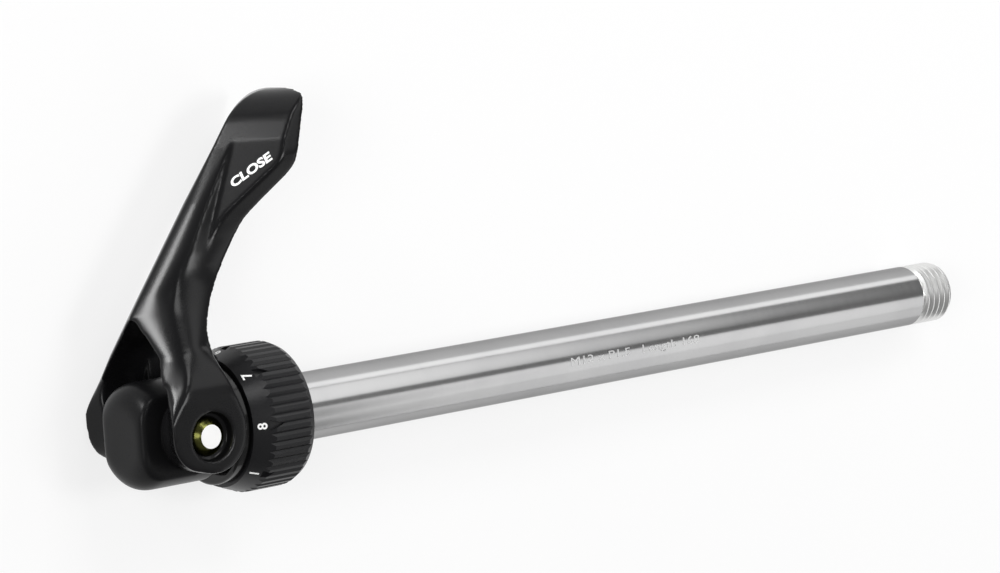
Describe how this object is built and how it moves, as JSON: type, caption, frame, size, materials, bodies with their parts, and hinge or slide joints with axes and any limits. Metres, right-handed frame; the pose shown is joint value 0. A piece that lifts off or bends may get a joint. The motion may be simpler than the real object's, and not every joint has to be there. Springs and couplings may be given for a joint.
{
  "type": "bicycle thru axle",
  "caption": "Quick-release thru axle: a round shank with a threaded tip, a domed head, a forked cam lever and a ribbed, numbered dial that sets the clamping preload.",
  "frame": {"origin": "the axle's axis in the plane of the dial's clamp face", "axes": "+X along the axle towards the threaded tip, +Y towards the closed lever's tip, +Z along the lever's pivot pin"},
  "size_m": [0.1997, 0.0689, 0.0264],
  "materials": {
    "satin_alloy": "satin silver anodised",
    "matt_black_alloy": "matt black anodised",
    "yellow_zinc": "yellow zinc plated",
    "black_lever": "semi-gloss black forged alloy",
    "gloss_black": "polished black acetal",
    "black_dial": "satin black anodised",
    "spring_steel": "oiled spring steel"
  },
  "bodies": {
    "axle": {"axle_tube": "satin_alloy", "axle_head": "matt_black_alloy", "retaining_ring": "spring_steel", "return_spring": "spring_steel"},
    "lever": {"cam_lever": "black_lever", "pivot_pin": "yellow_zinc"},
    "pad": {"cam_pad": "gloss_black", "detent_spring": "spring_steel"},
    "dial": {"adjuster_dial": "black_dial"}
  },
  "joints": [
    {"name": "lever_pivot", "type": "hinge", "parent": "axle", "child": "lever", "pos_m": [-0.022, 0, 0], "axis": [0, 0, 1], "range_deg": [0, 100]},
    {"name": "pad_slide", "type": "slide", "parent": "axle", "child": "pad", "axis": [1, 0, 0], "range_m": [-0.0012, 0], "deforming": ["return_spring"]},
    {"name": "dial_turn", "type": "hinge", "parent": "pad", "child": "dial", "pos_m": [0, 0, 0], "axis": [1, 0, 0], "range_deg": [0, 315], "deforming": ["detent_spring"]}
  ],
  "couplings": [
    {"joint": "pad_slide", "follows": "lever_pivot", "m_per_rad": -0.000572}
  ]
}
